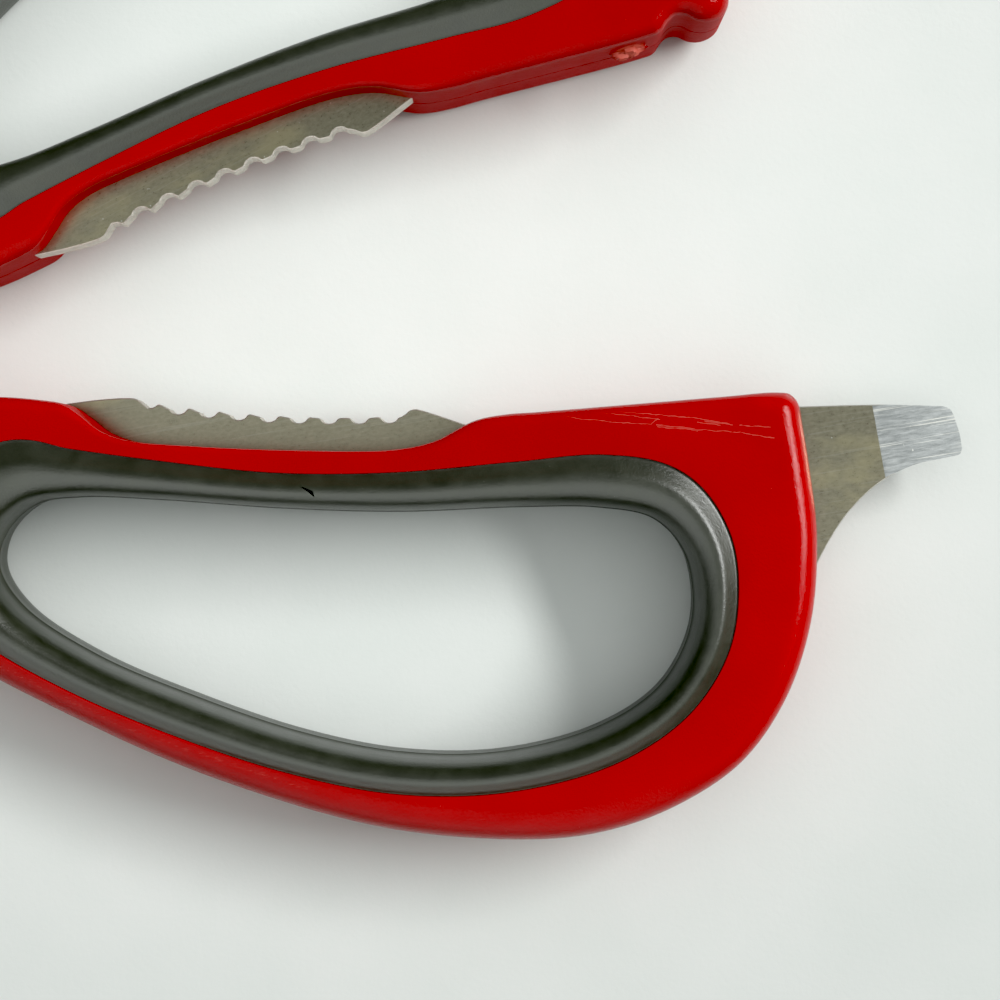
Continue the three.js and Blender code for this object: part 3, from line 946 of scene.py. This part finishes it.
def build_half(half):
    """The two shells, the liner and the blade of one half, with their finishes."""
    body = "half_" + half
    turned_over = half == "b"  # so its front shell is the lower one of the drawing
    for side, lower in (("front", turned_over), ("back", not turned_over)):
        name = f"red_{side}_shell_{half}"
        marks = {"scratches": SCRATCHES, "rubs": RUBS} if name == WORN_SHELL else {}
        plastic = red_plastic(name, half, **marks)
        finish_piece(shell(name, half, lower), body, f"{side}_shell_{half}", plastic)
    soft = liner("soft_liner_" + half, half)
    rubber = soft_rubber("rubber_" + half, half)
    finish_piece(soft, body, "grip_liner_" + half, rubber, sharp=60)
    steel = blade("steel_blade_" + half, half)
    rolled, ground, edge = (satin_steel(kind + "_steel_" + half, half, kind) for kind in STEEL_FINISHES)
    finish_piece(steel, body, "blade_" + half, rolled, sharp=25)
    paint_steel_faces(steel, ground, edge)


build_half("a")
build_half("b")
stud_finish = satin_steel("stud_steel", "a", "ground")
finish_piece(pivot_stud("lugged_stud"), "half_a", "pivot_stud", stud_finish, sharp=30)
finish_piece(stud_washer("foot_washer"), "half_a", "stud_washer", stud_finish, sharp=30)


# ---- table, light and camera ----
VIEW_CENTRE = (81.9 * MM, -10.85 * MM)  # the middle of the view, on the lower handle
VIEW_SPAN = 100 * MM  # width seen at the handles' middle
CAMERA_RISE = 200 * MM
CAMERA_ROLL = math.radians(-0.29)
SENSOR = 36
NEAR_SIDE = Vector((-0.3, -0.78, 0.55)).normalized()
SHEEN_RANGE, SHEEN = (0.3, 0.95), (0.14, 1.6)  # what shiny faces see: dim, and bright on the near side
DOME_SIDE = Vector((0, 0.25, 0.97)).normalized()
DOME_RANGE, DOME = (0.5, 0.9), (0.16, 1.08)  # what lights matt faces: a soft dome overhead
SHADOW_CRUSH = 0.03  # darkest tone kept, as on a contrasty print


def add_floor():
    mesh = bpy.data.meshes.new("floor")
    reach = 3
    corners = [(-reach, -reach, 0), (reach, -reach, 0), (reach, reach, 0), (-reach, reach, 0)]
    mesh.from_pydata(corners, [], [(0, 1, 2, 3)])
    floor = bpy.data.objects.new("floor", mesh)
    floor.location.z = FLOOR_HEIGHT
    floor.data.materials.append(floor_finish())
    bpy.context.scene.collection.objects.link(floor)


def add_area_light(name, azimuth, elevation, reach, size, power, colour):
    """A soft light aimed at the view centre from a compass direction (0 is +x) and a height angle."""
    light = bpy.data.lights.new(name, "AREA")
    light.shape = "RECTANGLE"
    light.size, light.size_y = size
    light.energy = power
    light.color = colour
    turn, lift = math.radians(azimuth), math.radians(elevation)
    toward = Vector((math.cos(turn) * math.cos(lift), math.sin(turn) * math.cos(lift), math.sin(lift)))
    holder = bpy.data.objects.new(name, light)
    holder.location = Vector((*VIEW_CENTRE, 0)) + toward * reach
    holder.rotation_euler = toward.to_track_quat("Z", "Y").to_euler()
    bpy.context.scene.collection.objects.link(holder)


def add_world():
    """A soft dome for matt faces, a dimmer room with a bright near side for shiny ones, and pale walls."""
    world = bpy.data.worlds.new("studio")
    world.use_nodes = True
    nodes, links = world.node_tree.nodes, world.node_tree.links

    def wired(kind, *values, **settings):
        made = nodes.new("ShaderNode" + kind)
        for key, value in settings.items():
            setattr(made, key, value)
        for socket, value in enumerate(values):
            if isinstance(value, bpy.types.NodeSocket):
                links.new(value, made.inputs[socket])
            else:
                made.inputs[socket].default_value = value
        return made.outputs

    def facing(direction):
        aim = wired("VectorMath", place, direction, operation="DOT_PRODUCT")
        return aim["Value"]

    place = wired("TexCoord")["Generated"]
    path = wired("LightPath")
    sheen = wired("MapRange", facing(NEAR_SIDE), *SHEEN_RANGE, *SHEEN, interpolation_type="SMOOTHSTEP")
    dome = wired("MapRange", facing(DOME_SIDE), *DOME_RANGE, *DOME, interpolation_type="SMOOTHSTEP")
    room = wired("Mix", path["Is Diffuse Ray"], (0, 0, 0), sheen[0], dome[0])
    seen = wired("Mix", path["Is Camera Ray"], (0, 0, 0), room[0], 0.8)
    background = nodes["Background"]
    links.new(seen[0], background.inputs["Strength"])
    background.inputs["Color"].default_value = (0.965, 1, 0.985, 1)
    world.cycles.sampling_method = "NONE"
    bpy.context.scene.world = world


def add_camera():
    data = bpy.data.cameras.new("camera")
    data.sensor_width = SENSOR
    data.lens = SENSOR * CAMERA_RISE / VIEW_SPAN
    data.clip_start = 0.01
    camera = bpy.data.objects.new("camera", data)
    camera.location = (*VIEW_CENTRE, MEETING_HEIGHT + CAMERA_RISE)
    camera.rotation_euler = (0, 0, CAMERA_ROLL)
    bpy.context.scene.collection.objects.link(camera)
    bpy.context.scene.camera = camera


add_floor()
add_world()
add_area_light("window", 22, 38, 1.2, (0.8, 0.15), 13.5, (0.985, 1, 0.985))
add_camera()
print_look = bpy.context.scene.view_settings
print_look.view_transform = "Standard"
print_look.use_curve_mapping = True
print_look.curve_mapping.black_level = (SHADOW_CRUSH,) * 3
